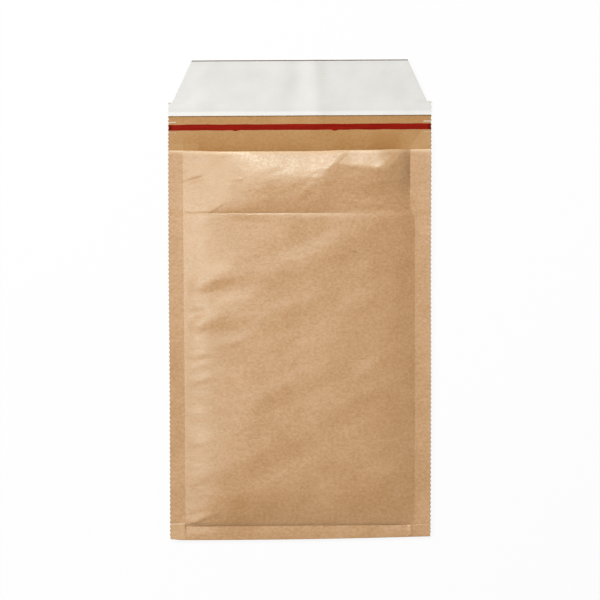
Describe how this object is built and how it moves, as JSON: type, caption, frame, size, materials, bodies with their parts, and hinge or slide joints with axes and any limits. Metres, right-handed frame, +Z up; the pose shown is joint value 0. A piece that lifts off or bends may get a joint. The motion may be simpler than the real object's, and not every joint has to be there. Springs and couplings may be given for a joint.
{
  "type": "padded envelope",
  "caption": "Kraft paper mailer lined with bubble film, empty, flap open: peel-off liner over its adhesive, red tear tape, serrated side seals.",
  "frame": {"origin": "centre of the footprint, flap included, at the level of the table under the back panel", "axes": "+X across the mailer, +Y from the bottom fold to the tip of the open flap, +Z up through the front panel"},
  "size_m": [0.18, 0.327, 0.0145],
  "materials": {
    "kraft": "matt",
    "film": "gloss",
    "glue": "gloss",
    "liner": "satin",
    "tape": "gloss"
  },
  "bodies": {
    "root": {"kraft_envelope": "kraft", "bubble_lining": "film", "tear_tape": "tape", "adhesive_band": "glue", "release_liner": "liner"}
  },
  "joints": []
}
